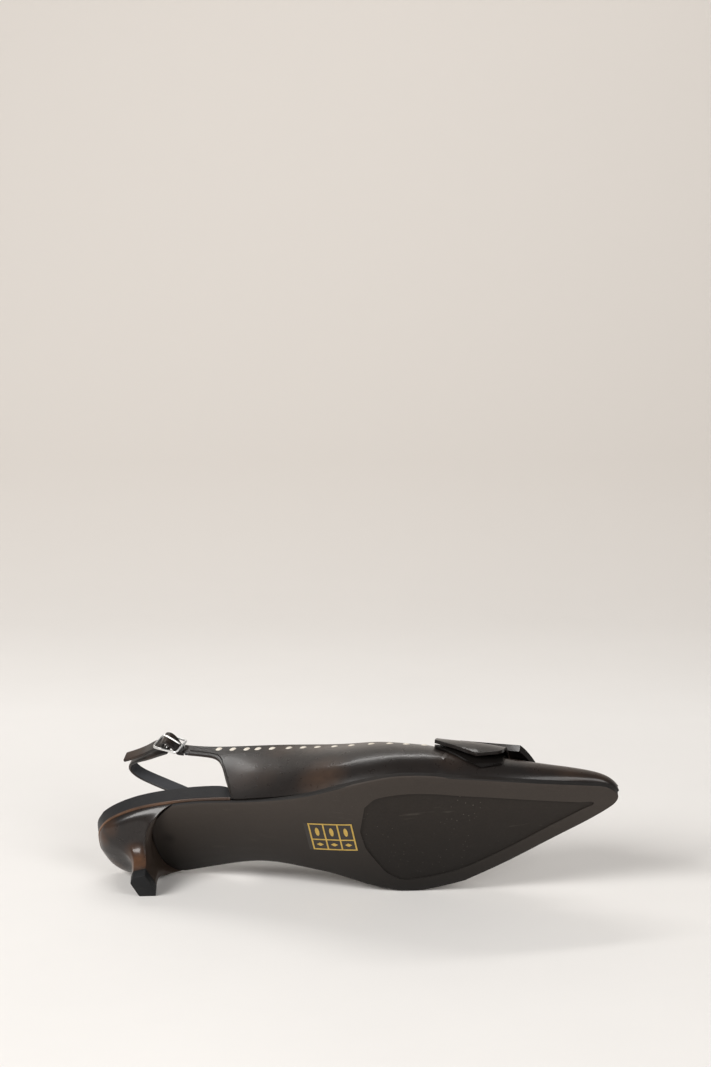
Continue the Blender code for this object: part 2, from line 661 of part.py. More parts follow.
def resting_face(pieces):
    """The hull's face that the shoe lies on: heel tip, medial edge of the seat and ball, under its weight."""
    weight = centre_of_mass(pieces)
    hull = bmesh.new()
    for points, _ in pieces:
        for point in points:
            hull.verts.new(point)
    bmesh.ops.convex_hull(hull, input=hull.verts)
    bmesh.ops.recalc_face_normals(hull, faces=hull.faces)
    chosen = None
    for face in hull.faces:
        normal = face.normal
        if normal.y < SIDEWAYS or normal.z > 0:
            continue
        foot = weight + normal * normal.dot(face.verts[0].co - weight)
        corners = [vertex.co for vertex in face.verts]
        edges = zip(corners, corners[1:] + corners[:1])
        if min((two - one).cross(foot - one).dot(normal) for one, two in edges) >= 0:
            chosen = normal.copy()
    hull.free()
    return chosen


def lay_down(group, cutters):
    """One empty turns the standing shoe on to its resting face, toe along +X, centred over the origin."""
    pieces = list(solids(group))
    down = resting_face(pieces)
    toe = Vector((1, 0, 0))
    ahead = (toe - toe.dot(down) * down).normalized()
    turn = Matrix((ahead, (-down).cross(ahead), -down))
    everything = np.vstack([points for points, _ in pieces]) @ np.array(turn).T
    low, high = everything.min(axis=0), everything.max(axis=0)
    shift = Vector((-(low[0] + high[0]) / 2, -(low[1] + high[1]) / 2, -low[2]))
    stand = bpy.data.objects.new("shoe_on_its_side", None)
    bpy.context.scene.collection.objects.link(stand)
    for piece in (*group.objects, *cutters.objects):
        piece.parent = stand
    stand.matrix_world = Matrix.Translation(shift) @ turn.to_4x4()


def main():
    for old in list(bpy.data.objects):
        bpy.data.objects.remove(old, do_unlink=True)
    shoe = bpy.data.collections.new("slingback pump")
    cutters = bpy.data.collections.new("cutters")
    for group in (shoe, cutters):
        bpy.context.scene.collection.children.link(group)

    leather = finish("burnished leather", (0.016, 0.013, 0.011), 0.32)
    footbed = finish("footbed leather", (0.018, 0.018, 0.019), 0.5)
    rand = finish("burnished edge", (0.16, 0.075, 0.035), 0.4)
    resin = finish("outsole resin", (0.055, 0.044, 0.037), 0.62)
    rubber = finish("lift rubber", (0.012, 0.013, 0.015), 0.55)
    metal = finish("buckle metal", (0.75, 0.75, 0.76), 0.18, 1.0)

    make_outsole(resin, shoe, cutters)
    make_heel(leather, rubber, shoe)
    make_rand(rand, shoe)
    make_insole(footbed, shoe)
    make_upper(leather, shoe)
    make_strap("sling_strap", SLING_ROUTE, 36, SLING_WIDTH, SLING_WIDTH, leather, shoe)
    make_strap("tail_strap", TAIL_ROUTE, 30, STRAP_WIDTH, TAIL_TIP, leather, shoe)
    make_buckle(metal, shoe)
    make_bow(leather, shoe)
    lay_down(shoe, cutters)
    bpy.context.view_layer.update()


main()
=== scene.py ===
import json
import math

import bpy
import numpy as np
from mathutils import Matrix, Vector
from mathutils.bvhtree import BVHTree


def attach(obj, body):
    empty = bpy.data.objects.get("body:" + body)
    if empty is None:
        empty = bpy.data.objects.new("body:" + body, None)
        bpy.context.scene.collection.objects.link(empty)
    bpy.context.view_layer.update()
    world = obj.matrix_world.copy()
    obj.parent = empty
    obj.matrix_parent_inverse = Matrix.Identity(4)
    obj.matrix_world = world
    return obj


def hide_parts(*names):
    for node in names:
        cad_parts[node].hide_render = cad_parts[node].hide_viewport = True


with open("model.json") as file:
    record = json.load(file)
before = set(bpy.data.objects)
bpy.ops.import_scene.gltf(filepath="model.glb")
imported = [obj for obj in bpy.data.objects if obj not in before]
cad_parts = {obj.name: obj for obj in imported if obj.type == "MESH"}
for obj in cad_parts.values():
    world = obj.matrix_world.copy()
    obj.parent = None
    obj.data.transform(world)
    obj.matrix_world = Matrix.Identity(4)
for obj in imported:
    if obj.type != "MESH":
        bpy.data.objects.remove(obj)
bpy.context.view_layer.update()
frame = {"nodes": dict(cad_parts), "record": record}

mm = 0.001
meshLook = {"merge": 0.00001, "cordMerge": 0.000001, "flat": 40, "square": 70}  # for joining and merging faces
print("frame loaded")

# The shoe's own frame, in millimetres: x from the seat to the toe, y to the medial side, z up from the sole.
mounts = {mount["name"]: mount for mount in frame["record"]["mounts"]}
tipInShoe = Vector((26, 2, 0))  # where the heel tip's mount lies in that frame
shoeUp = -Vector(mounts["heel_tip"]["axis"]).normalized()
shoeToe = Vector((shoeUp.z, 0, -shoeUp.x)).normalized()
turn = Matrix((shoeToe, shoeUp.cross(shoeToe), shoeUp)).transposed()
seatBack = Vector(mounts["heel_tip"]["pos_m"]) - turn @ tipInShoe * mm
toWorld = Matrix.Translation(seatBack) @ turn.to_4x4() @ Matrix.Scale(mm, 4)
toShoe = toWorld.inverted()


def deselect():
    if bpy.context.mode != "OBJECT":
        bpy.ops.object.mode_set(mode="OBJECT")
    bpy.ops.object.select_all(action="DESELECT")


def pick(piece):
    deselect()
    piece.select_set(True)
    bpy.context.view_layer.objects.active = piece


def carry(piece, slot, *nodes):
    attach(piece, "root")
    if nodes:
        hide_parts(*nodes)


def copyNode(node, name):
    piece = bpy.data.objects.new(name, frame["nodes"][node].data.copy())
    bpy.context.scene.collection.objects.link(piece)
    piece.data.materials.clear()
    pick(piece)
    bpy.ops.mesh.customdata_custom_splitnormals_clear()
    bpy.ops.object.mode_set(mode="EDIT")
    bpy.ops.mesh.select_all(action="SELECT")
    bpy.ops.mesh.remove_doubles(threshold=meshLook["merge"])
    bpy.ops.mesh.tris_convert_to_quads(face_threshold=math.radians(meshLook["flat"]),
                                       shape_threshold=math.radians(meshLook["square"]))
    bpy.ops.object.mode_set(mode="OBJECT")
    return piece


def finishWith(piece, kind, **settings):
    modifier = piece.modifiers.new(kind, kind)
    for key, value in settings.items():
        setattr(modifier, key, value)
    pick(piece)
    bpy.ops.object.modifier_apply(modifier=modifier.name)


def roundEdges(piece, width, angle=50):
    finishWith(piece, "BEVEL", width=width * mm, segments=2, limit_method="ANGLE",
               angle_limit=math.radians(angle))


def soften(piece, levels):
    finishWith(piece, "SUBSURF", levels=levels, render_levels=levels)
    pick(piece)
    bpy.ops.object.shade_smooth()


def faceOutwards(piece):
    pick(piece)
    bpy.ops.object.mode_set(mode="EDIT")
    bpy.ops.mesh.select_all(action="SELECT")
    bpy.ops.mesh.normals_make_consistent(inside=False)
    bpy.ops.object.mode_set(mode="OBJECT")


def shoePoints(piece):
    points = np.empty(len(piece.data.vertices) * 3)
    piece.data.vertices.foreach_get("co", points)
    points = np.c_[points.reshape(-1, 3), np.ones(len(piece.data.vertices))]
    return points @ np.array(toShoe).T[:, :3]


spotFall = 1.5  # how steeply a painted spot fades towards its rim


# A soft mask on a piece, from spots of x, y, z, radius and strength in the shoe's millimetres.
def paint(piece, name, spots):
    points = shoePoints(piece)
    mask = np.zeros(len(points))
    for x, y, z, radius, strength in spots:
        far = np.linalg.norm(points - (x, y, z), axis=1) / radius
        mask = np.maximum(mask, strength * np.clip(1 - far ** 2, 0, 1) ** spotFall)
    layer = piece.data.attributes.new(name, "FLOAT", "POINT")
    layer.data.foreach_set("value", mask)


creaseForm = {"step": 0.7, "fade": 0.6, "ridge": 0.45, "ridgeAt": 2.2, "ridgeWide": 0.9}


# Presses soft troughs with a low ridge on each side into a piece's outer face, along lines in the
# shoe's millimetres.
def pressCreases(piece, creases, isOuter):
    points = shoePoints(piece)
    away = np.array(toShoe.to_3x3())
    normals = np.array([vertex.normal for vertex in piece.data.vertices]) @ away.T
    normals /= np.linalg.norm(normals, axis=1)[:, None]
    outer = np.array([isOuter(Vector(point), Vector(normal)) for point, normal in zip(points, normals)])
    surface = BVHTree.FromPolygons([Vector(point) for point in points],
                                   [face.vertices[:] for face in piece.data.polygons])
    push = np.zeros(len(points))
    for crease in creases:
        path = alongPath(crease["line"], creaseForm["step"])
        line = [surface.find_nearest(Vector(point))[0] for point in path]
        gaps = np.linalg.norm(points[:, None, :] - np.array(line)[None, :, :], axis=2)
        fade = np.sin(np.pi * (gaps.argmin(axis=1) + 0.5) / len(line)) ** creaseForm["fade"]
        far = gaps.min(axis=1) / crease["width"]
        ridge = np.exp(-((far - creaseForm["ridgeAt"]) / creaseForm["ridgeWide"]) ** 2)
        push += crease["depth"] * fade * (creaseForm["ridge"] * ridge - np.exp(-far ** 2))
    moved = points + normals * (push * outer)[:, None]
    for vertex, point in zip(piece.data.vertices, moved):
        vertex.co = toWorld @ Vector(point)


# Gives each face the slot that choose returns for its middle and its normal, both in the shoe's frame.
def sortFaces(piece, choose):
    away = toShoe.to_3x3()
    for face in piece.data.polygons:
        face.material_index = choose(toShoe @ face.center, (away @ face.normal).normalized())


def dress(piece, *materials):
    for material in materials:
        piece.data.materials.append(material)


# A round cord through points in the shoe's frame, made a mesh.
def roundCord(name, points, diameter, sides):
    curve = bpy.data.curves.new(name, "CURVE")
    curve.dimensions = "3D"
    curve.bevel_depth = diameter / 2 * mm
    curve.bevel_resolution = sides
    curve.use_fill_caps = True
    spline = curve.splines.new("POLY")
    spline.points.add(len(points) - 1)
    for knot, point in zip(spline.points, points):
        knot.co = (*(toWorld @ Vector(point)), 1)
    piece = bpy.data.objects.new(name, curve)
    bpy.context.scene.collection.objects.link(piece)
    pick(piece)
    bpy.ops.object.convert(target="MESH")
    piece = bpy.context.object
    bpy.ops.object.mode_set(mode="EDIT")
    bpy.ops.mesh.select_all(action="SELECT")
    bpy.ops.mesh.remove_doubles(threshold=meshLook["cordMerge"])
    bpy.ops.object.mode_set(mode="OBJECT")
    bpy.ops.object.shade_smooth()
    return piece


def joinAs(name, pieces):
    deselect()
    for piece in pieces:
        piece.select_set(True)
    bpy.context.view_layer.objects.active = pieces[0]
    bpy.ops.object.join()
    pieces[0].name = name
    return pieces[0]


def alongPath(points, pitch):
    points = np.array(points)
    run = np.concatenate([[0], np.cumsum(np.linalg.norm(np.diff(points, axis=0), axis=1))])
    return [np.array([np.interp(s, run, points[:, axis]) for axis in range(3)])
            for s in np.arange(0, run[-1], pitch)]


def evenOut(points, span):
    points = np.array(points)
    ends = span // 2
    padded = np.concatenate([points[:1].repeat(ends, 0), points, points[-1:].repeat(ends, 0)])
    return np.array([padded[at:at + span].mean(axis=0) for at in range(len(points))])


def addNode(tree, kind, inputs=(), **settings):
    made = tree.nodes.new("ShaderNode" + kind)
    for key, value in settings.items():
        setattr(made, key, value)
    for key, value in dict(inputs).items():
        if isinstance(value, bpy.types.NodeSocket):
            tree.links.new(value, made.inputs[key])
        else:
            made.inputs[key].default_value = value
    return made


def mixColours(tree, factor, first, second):
    made = addNode(tree, "Mix", data_type="RGBA")
    for place, value in ((0, factor), (6, first), (7, second)):
        if isinstance(value, bpy.types.NodeSocket):
            tree.links.new(value, made.inputs[place])
        else:
            made.inputs[place].default_value = value
    return made.outputs[2]


def rangeOf(tree, value, fromLow, fromHigh, low, high):
    made = addNode(tree, "MapRange", {"Value": value, "From Min": fromLow, "From Max": fromHigh,
                                      "To Min": low, "To Max": high})
    return made.outputs["Result"]


def newGroup(name, inputs, outputs):
    group = bpy.data.node_groups.new(name, "ShaderNodeTree")
    for socket, value in inputs.items():
        made = group.interface.new_socket(socket, in_out="INPUT", socket_type="NodeSocketFloat")
        made.default_value = value
    for socket in outputs:
        group.interface.new_socket(socket, in_out="OUTPUT", socket_type="NodeSocketFloat")
    return group, group.nodes.new("NodeGroupInput"), group.nodes.new("NodeGroupOutput")


poreShare = 0.4  # depth of the leather's pores against its roll


# Fine leather pores over a softer roll, as a height.
def makeGrain():
    group, given, result = newGroup("leatherGrain", {"Scale": 900.0}, ["Height"])
    place = addNode(group, "TexCoord").outputs["Object"]
    pores = addNode(group, "TexVoronoi", {"Vector": place, "Scale": given.outputs["Scale"],
                                          "Smoothness": 1.0}, feature="SMOOTH_F1")
    roll = addNode(group, "TexNoise", {"Vector": place, "Scale": 260.0, "Detail": 2.0})
    both = addNode(group, "Math", {0: pores.outputs["Distance"], 1: poreShare, 2: roll.outputs["Fac"]},
                   operation="MULTIPLY_ADD")
    group.links.new(both.outputs[0], result.inputs["Height"])
    return group


# Cloudy patches from 0 to 1, for burnish, mottle and dust.
def makePatches():
    group, given, result = newGroup("cloudyPatches", {"Scale": 30.0, "From": 0.45, "To": 0.7}, ["Mask"])
    place = addNode(group, "TexCoord").outputs["Object"]
    cloud = addNode(group, "TexNoise", {"Vector": place, "Scale": given.outputs["Scale"], "Detail": 7.0,
                                        "Roughness": 0.62})
    mask = addNode(group, "MapRange", {"Value": cloud.outputs["Fac"], "From Min": given.outputs["From"],
                                       "From Max": given.outputs["To"]})
    group.links.new(mask.outputs["Result"], result.inputs["Mask"])
    return group


# Scattered specks, as a mask.
def makeSpecks():
    group, given, result = newGroup("lightSpecks", {"Scale": 90.0, "Size": 0.08}, ["Mask"])
    place = addNode(group, "TexCoord").outputs["Object"]
    dots = addNode(group, "TexVoronoi", {"Vector": place, "Scale": given.outputs["Scale"]})
    rare = addNode(group, "TexNoise", {"Vector": place, "Scale": 31.0, "Detail": 1.0})
    close = addNode(group, "Math", {0: dots.outputs["Distance"], 1: given.outputs["Size"]},
                    operation="LESS_THAN")
    some = addNode(group, "MapRange", {"Value": rare.outputs["Fac"], "From Min": 0.5, "From Max": 0.66})
    mask = addNode(group, "Math", {0: close.outputs[0], 1: some.outputs["Result"]}, operation="MULTIPLY")
    group.links.new(mask.outputs[0], result.inputs["Mask"])
    return group


# Fine scratches that run from heel to toe, as a mask.
def makeScuffs():
    group, given, result = newGroup("longScuffs", {"Scale": 14.0}, ["Mask"])
    place = addNode(group, "TexCoord").outputs["Object"]
    drawn = addNode(group, "Mapping", {"Vector": place, "Rotation": (0.0, 0.0, 0.22),
                                       "Scale": (1.0, 14.0, 14.0)})
    streaks = addNode(group, "TexNoise", {"Vector": drawn.outputs["Vector"], "Detail": 4.0,
                                          "Scale": given.outputs["Scale"], "Roughness": 0.7})
    mask = addNode(group, "MapRange", {"Value": streaks.outputs["Fac"], "From Min": 0.64, "From Max": 0.78})
    group.links.new(mask.outputs["Result"], result.inputs["Mask"])
    return group


grainGroup, patchGroup, speckGroup, scuffGroup = makeGrain(), makePatches(), makeSpecks(), makeScuffs()


def placeGroup(tree, group, **values):
    made = tree.nodes.new("ShaderNodeGroup")
    made.node_tree = group
    for key, value in values.items():
        made.inputs[key].default_value = value
    return made


def startMaterial(name):
    material = bpy.data.materials.new(name)
    material.use_nodes = True
    return material, material.node_tree, material.node_tree.nodes["Principled BSDF"]


bumpReach = 0.0003  # height of a material's grain, in metres


# Leather: a dark and a rubbed colour, the rub painted on the piece and broken up by clouds.
def leather(name, look):
    material, tree, shader = startMaterial(name)
    shader.inputs["Specular IOR Level"].default_value = look["specular"]
    shader.inputs["Coat Weight"].default_value = look["coat"]
    shader.inputs["Coat Roughness"].default_value = look["coatRough"]
    painted = addNode(tree, "Attribute", attribute_name="rub").outputs["Fac"]
    clouds = placeGroup(tree, patchGroup, Scale=look["cloudScale"], From=0.3, To=0.72).outputs["Mask"]
    fineScale = look["cloudScale"] * look["finer"]
    fine = placeGroup(tree, patchGroup, Scale=fineScale, From=0.25, To=0.8).outputs["Mask"]
    patchy = rangeOf(tree, fine, 0, 1, look["rubLeast"], 1)
    broken = addNode(tree, "Math", {0: painted, 1: patchy}, operation="MULTIPLY")
    haze = addNode(tree, "Math", {0: clouds, 1: look["haze"]}, operation="MULTIPLY")
    worn = addNode(tree, "Math", {0: broken.outputs[0], 1: haze.outputs[0]}, operation="ADD",
                   use_clamp=True)
    colour = mixColours(tree, worn.outputs[0], (*look["dark"], 1), (*look["rubbed"], 1))
    tree.links.new(colour, shader.inputs["Base Color"])
    low, high = look["rough"]
    tree.links.new(rangeOf(tree, fine, 0, 1, low, high), shader.inputs["Roughness"])
    grain = placeGroup(tree, grainGroup, Scale=look["poreScale"])
    bump = addNode(tree, "Bump", {"Strength": look["bump"], "Distance": bumpReach,
                                  "Height": grain.outputs["Height"]})
    tree.links.new(bump.outputs["Normal"], shader.inputs["Normal"])
    return material


burnishedLook = {"dark": (0.0105, 0.0092, 0.0088), "rubbed": (0.062, 0.036, 0.023), "rough": (0.25, 0.35),
                 "specular": 0.22, "coat": 0.16, "coatRough": 0.12, "cloudScale": 28, "haze": 0.08,
                 "finer": 9, "rubLeast": 0.45, "poreScale": 900, "bump": 0.06}
burnished = leather("burnishedLeather", burnishedLook)
# A darker copy of the burnished leather for the bow's ply: painted shade under the wings.
shadedPlyLeather = leather("shadedPlyLeather", dict(burnishedLook, dark=(0.007, 0.0063, 0.006), haze=0.03))
heelCover = leather("heelCoverLeather", dict(
    burnishedLook, rubbed=(0.15, 0.068, 0.032), haze=0.04, coat=0.2))
breastCover = leather("breastLeather", dict(
    burnishedLook, dark=(0.022, 0.015, 0.011), rough=(0.45, 0.55)))
edgeFold = leather("foldedEdge", dict(
    burnishedLook, dark=(0.013, 0.0105, 0.009), rubbed=(0.07, 0.04, 0.024), haze=0.3))
seamThread = leather("seamThread", dict(
    burnishedLook, dark=(0.006, 0.0055, 0.005), rough=(0.6, 0.7), coat=0.0))
liningLeather = leather("liningLeather", dict(
    burnishedLook, dark=(0.036, 0.038, 0.043), rubbed=(0.062, 0.062, 0.066), rough=(0.55, 0.68),
    coat=0.0, haze=0.35, bump=0.2))
seatLeather = leather("seatRimLeather", dict(
    burnishedLook, dark=(0.010, 0.0105, 0.012), rubbed=(0.024, 0.022, 0.022), rough=(0.46, 0.58),
    coat=0.05, haze=0.35, bump=0.18))
randLeather = leather("randLeather", dict(
    burnishedLook, dark=(0.026, 0.014, 0.009), rubbed=(0.15, 0.072, 0.035), haze=0.2, rough=(0.36, 0.5)))
inkedEdge = leather("inkedEdge", dict(
    burnishedLook, dark=(0.008, 0.0072, 0.007), rubbed=(0.03, 0.022, 0.017), rough=(0.55, 0.66),
    specular=0.25, coat=0.0, haze=0.12))


# Moulded sole resin: mottled, with specks and scuffs, darker near the floor: partly soil, partly painted
# shade.
def resin(name, look):
    material, tree, shader = startMaterial(name)
    shader.inputs["Specular IOR Level"].default_value = look["specular"]
    place = addNode(tree, "TexCoord").outputs["Object"]
    clouds = placeGroup(tree, patchGroup, Scale=look["cloudScale"], From=0.3, To=0.7).outputs["Mask"]
    fine = placeGroup(tree, patchGroup, Scale=look["fineScale"], From=0.2, To=0.8).outputs["Mask"]
    base = mixColours(tree, clouds, (*look["dark"], 1), (*look["light"], 1))
    tone = mixColours(tree, rangeOf(tree, fine, 0, 1, 0, look["dustShow"]), base, (*look["dust"], 1))
    scuffs = placeGroup(tree, scuffGroup, Scale=look["scuffScale"]).outputs["Mask"]
    tone = mixColours(tree, rangeOf(tree, scuffs, 0, 1, 0, look["scuff"]), tone, (*look["speck"], 1))
    specks = placeGroup(tree, speckGroup, Scale=look["speckScale"], Size=look["speckSize"]).outputs["Mask"]
    tone = mixColours(tree, rangeOf(tree, specks, 0, 1, 0, look["speckShow"]), tone, (*look["speck"], 1))
    # Darkens towards the floor by height, partly as soil and partly as painted shade near the floor.
    height = addNode(tree, "SeparateXYZ", {"Vector": place}).outputs["Z"]
    soilAndShade = rangeOf(tree, height, *look["soilAndShadeReach"], look["soilAndShade"], 0)
    tone = mixColours(tree, soilAndShade, tone, (*look["soilAndShadeTone"], 1))
    grain = placeGroup(tree, grainGroup, Scale=look["poreScale"]).outputs["Height"]
    # The dimple near the heel: a shallow dip in the bump, its colour darkened as painted shade in the hollow.
    if "dimple" in look:
        dimple = look["dimple"]
        radius = dimple["radius"]
        far = addNode(tree, "VectorMath", {0: place, 1: dimple["place"]}, operation="DISTANCE")
        dip = rangeOf(tree, far.outputs["Value"], radius * dimple["flat"], radius, 1, 0)
        tone = mixColours(tree, rangeOf(tree, dip, 0, 1, 0, dimple["show"]), tone, (*look["soilAndShadeTone"], 1))
        depth = rangeOf(tree, dip, 0, 1, 0, dimple["depth"])
        grain = addNode(tree, "Math", {0: grain, 1: depth}, operation="SUBTRACT").outputs[0]
    tree.links.new(tone, shader.inputs["Base Color"])
    low, high = look["rough"]
    tree.links.new(rangeOf(tree, clouds, 0, 1, low, high), shader.inputs["Roughness"])
    bump = addNode(tree, "Bump", {"Strength": look["bump"], "Distance": bumpReach, "Height": grain})
    tree.links.new(bump.outputs["Normal"], shader.inputs["Normal"])
    return material


resinLook = {"dark": (0.033, 0.0255, 0.0208), "light": (0.039, 0.0308, 0.0255), "cloudScale": 22,
             "dust": (0.047, 0.039, 0.033), "dustShow": 0.35, "fineScale": 650,
             "speck": (0.24, 0.21, 0.18), "speckScale": 480, "speckSize": 0.09, "speckShow": 0.2,
             "scuffScale": 14, "scuff": 0.12, "soilAndShade": 1.0, "soilAndShadeReach": (0.0, 0.05),
             "soilAndShadeTone": (0.0055, 0.0044, 0.0037), "specular": 0.25, "rough": (0.55, 0.66),
             "poreScale": 1900, "bump": 0.10}
soleDimple = {"place": toWorld @ Vector((39.3, -3.1, 26.4)), "radius": 4.4 * mm, "flat": 0.2, "show": 0.5,
              "depth": 4}
soleResin = resin("soleResin", dict(resinLook, dimple=soleDimple))
panelResin = resin("panelResin", dict(
    resinLook, dark=(0.0145, 0.0108, 0.0084), light=(0.019, 0.0146, 0.0115), dust=(0.028, 0.0228, 0.019),
    speckScale=380, speckSize=0.11, speckShow=0.3, scuff=0.2, rough=(0.62, 0.75), poreScale=1100, bump=0.28))
liftRubber = resin("liftRubber", dict(
    resinLook, dark=(0.0045, 0.005, 0.0058), light=(0.0065, 0.0072, 0.0082), dust=(0.011, 0.012, 0.0135),
    rough=(0.5, 0.62), soilAndShade=0.2, speckShow=0.15, bump=0.14))
labelFilm = resin("labelFilm", dict(
    resinLook, dark=(0.030, 0.025, 0.021), light=(0.036, 0.030, 0.026), dust=(0.05, 0.045, 0.04),
    rough=(0.3, 0.4), soilAndShade=0.0, speckShow=0.1, scuff=0.05, bump=0.03))

metalLook = {"cloudScale": 420, "tarnish": 0.72, "dulled": 0.14}


def metal(name, colour, rough):
    material, tree, shader = startMaterial(name)
    shader.inputs["Metallic"].default_value = 1.0
    clouds = placeGroup(tree, patchGroup, Scale=metalLook["cloudScale"], From=0.3, To=0.8).outputs["Mask"]
    tarnish = tuple(value * metalLook["tarnish"] for value in colour)
    tree.links.new(mixColours(tree, clouds, (*colour, 1), (*tarnish, 1)), shader.inputs["Base Color"])
    dull = rangeOf(tree, clouds, 0, 1, rough, rough + metalLook["dulled"])
    tree.links.new(dull, shader.inputs["Roughness"])
    return material


buckleMetal = metal("buckleMetal", (0.90, 0.90, 0.89), 0.3)
goldFoil = metal("goldFoil", (0.80, 0.56, 0.16), 0.42)


# Cream lacing with a twist along its length.
def lacing(name, look):
    material, tree, shader = startMaterial(name)
    shader.inputs["Roughness"].default_value = look["rough"]
    clouds = placeGroup(tree, patchGroup, Scale=look["cloudScale"], From=0.3, To=0.75).outputs["Mask"]
    colour = mixColours(tree, clouds, (*look["clean"], 1), (*look["soiled"], 1))
    tree.links.new(colour, shader.inputs["Base Color"])
    place = addNode(tree, "TexCoord").outputs["Object"]
    twist = addNode(tree, "TexWave", {"Vector": place, "Scale": look["twist"],
                                      "Distortion": look["wander"]}, bands_direction="DIAGONAL")
    bump = addNode(tree, "Bump", {"Strength": look["bump"], "Distance": look["reach"],
                                  "Height": twist.outputs["Fac"]})
    tree.links.new(bump.outputs["Normal"], shader.inputs["Normal"])
    return material


creamLacing = lacing("creamLacing", {"clean": (0.78, 0.74, 0.66), "soiled": (0.55, 0.49, 0.41),
                                     "cloudScale": 240, "rough": 0.62, "twist": 700, "wander": 1.5,
                                     "bump": 0.35, "reach": 0.0002})
print("materials ready")

# The upper: the wall's edges rounded, leather outside and lining inside.
upperLook = {
    "edge": 0.5, "levels": 2,
    "even": {"middle": 183, "reach": 14, "heights": (5, 32), "ramp": 4, "pull": 0.5, "rounds": 24},
    # the line that the wall is wrapped round: its heights, where it drops, its front end and its side
    "axisLow": 12, "axisHigh": 34, "axisRun": (140, 90), "axisEnd": 235, "axisSide": 1.5,
    "collarMiddle": 2.0, "quarterEnd": 110, "rearBand": 0.35,
    "rubs": [(127, -37, 14, 17, 0.75), (105, -28, 50, 13, 0.45), (125, -29, 45, 13, 0.55),
             (140, -30, 41, 13, 0.6), (155, -33, 36, 12, 0.5), (218, -18, 24, 13, 0.6),
             (245, -10, 17, 15, 0.65), (257, -5, 14, 9, 0.6), (86, -27, 36, 15, 0.3),
             (230, -16, 18, 13, 0.4), (96, -28, 30, 12, 0.25), (190, -34, 14, 12, 0.3),
             (127, 33, 20, 16, 0.5), (105, 27, 52, 13, 0.4), (140, 29, 44, 13, 0.5),
             (160, 38, 12, 14, 0.6), (225, 16, 20, 14, 0.5), (248, 10, 16, 12, 0.5)],
    "creases": [{"line": [(167, -33, 31), (171, -38, 20), (172, -39, 11)], "width": 3.0, "depth": 0.09},
                {"line": [(99, -27, 51), (104, -30, 39), (111, -31, 27)], "width": 3.4, "depth": 0.09},
                {"line": [(222, -14, 24), (225, 0, 27), (222, 14, 24)], "width": 2.2, "depth": 0.16},
                {"line": [(166, 32, 32), (170, 37, 20), (171, 38, 10)], "width": 2.2, "depth": 0.3},
                {"line": [(178, 31, 28), (181, 36, 18), (182, 37, 10)], "width": 2.0, "depth": 0.22},
                {"line": [(99, 27, 52), (104, 30, 40), (111, 32, 28)], "width": 2.8, "depth": 0.22}],
}


def outwards(middle, normal):
    low, high, (frontEnd, rearEnd) = upperLook["axisLow"], upperLook["axisHigh"], upperLook["axisRun"]
    share = min(max((middle.x - rearEnd) / (frontEnd - rearEnd), 0), 1)
    axis = Vector((min(middle.x, upperLook["axisEnd"]), upperLook["axisSide"], high + (low - high) * share))
    return normal.dot(middle - axis) > 0


# Evens the wall where the quarters run into the vamp, with a weight that fades out to all sides.
def evenWall(piece, look):
    points = shoePoints(piece)
    away = toShoe.to_3x3()
    fade = np.clip(1 - ((points[:, 0] - look["middle"]) / look["reach"]) ** 2, 0, 1)
    low, high = look["heights"]
    fade *= np.clip(np.minimum(points[:, 2] - low, high - points[:, 2]) / look["ramp"], 0, 1)
    group = piece.vertex_groups.new(name="evened")
    for at in np.flatnonzero(fade):
        if outwards(Vector(points[at]), (away @ piece.data.vertices[at].normal).normalized()):
            group.add([int(at)], float(fade[at]), "REPLACE")
    finishWith(piece, "SMOOTH", factor=look["pull"], iterations=look["rounds"], vertex_group="evened")
    piece.vertex_groups.clear()


upper = copyNode("upper", "upperLeather")
roundEdges(upper, upperLook["edge"])
soften(upper, upperLook["levels"])
evenWall(upper, upperLook["even"])
pressCreases(upper, upperLook["creases"], outwards)
paint(upper, "rub", upperLook["rubs"])
dress(upper, burnished, liningLeather)
sortFaces(upper, lambda middle, normal: 0 if outwards(middle, normal) else 1)
carry(upper, "upper_leather", "upper")
print("upper", len(upper.data.polygons), "faces")

# Lines of the upper, read from its own mesh.
upperPoints = shoePoints(upper)
upperEdges = np.array([edge.vertices[:] for edge in upper.data.edges])


def sliceUpper(axis, value):
    ends = upperPoints[upperEdges]
    before, after = ends[:, 0, axis] - value, ends[:, 1, axis] - value
    cross = before * after < 0
    share = (before[cross] / (before[cross] - after[cross]))[:, None]
    return ends[cross, 0] + (ends[cross, 1] - ends[cross, 0]) * share


def toplineAt(x, side):
    points = sliceUpper(0, x)
    points = points[(points[:, 1] - upperLook["collarMiddle"]) * side > 0]
    return points[points[:, 2].argmax()]


def rearEdgeAt(z, side):
    points = sliceUpper(2, z)
    points = points[(points[:, 1] * side > 0) & (points[:, 0] < upperLook["quarterEnd"])]
    return points[points[:, 0] < points[:, 0].min() + upperLook["rearBand"]].mean(axis=0)


# Whipstitches: one leaf-shaped stitch modelled, then copied along the topline, outside and inside.
stitchLook = {"half": (1.85, 0.58, 1.3), "point": 0.3, "slant": 20, "reach": 1.2, "sunk": 0.05,
              "below": ([70, 85, 100, 116, 133, 150, 165, 187], [2.0, 2.9, 3.8, 5.0, 6.2, 7.0, 6.0, 4.0]),
              "rear": 52, "step": 1.5, "bend": 165, "fineStep": 0.5,  # how the topline is followed
              "sewn": [69.9, 76.9, 84.3, 91.7, 99.1, 107.5, 115.1, 122.7, 132.1, 141.1, 151.0, 159.4,
                       168.2, 176.6],
              "throat": 186.5, "throatFrom": 181, "throatShares": (0.08, 0.5, 0.92), "throatOut": (2, 0, 0)}
stations = np.concatenate([np.arange(stitchLook["rear"], stitchLook["bend"], stitchLook["step"]),
                           np.arange(stitchLook["bend"], stitchLook["throat"], stitchLook["fineStep"])])


def wallTree(slot):
    faces = [face.vertices[:] for face in upper.data.polygons if face.material_index == slot]
    return BVHTree.FromPolygons([Vector(point) for point in upperPoints], faces)


outerTree, innerTree = wallTree(0), wallTree(1)


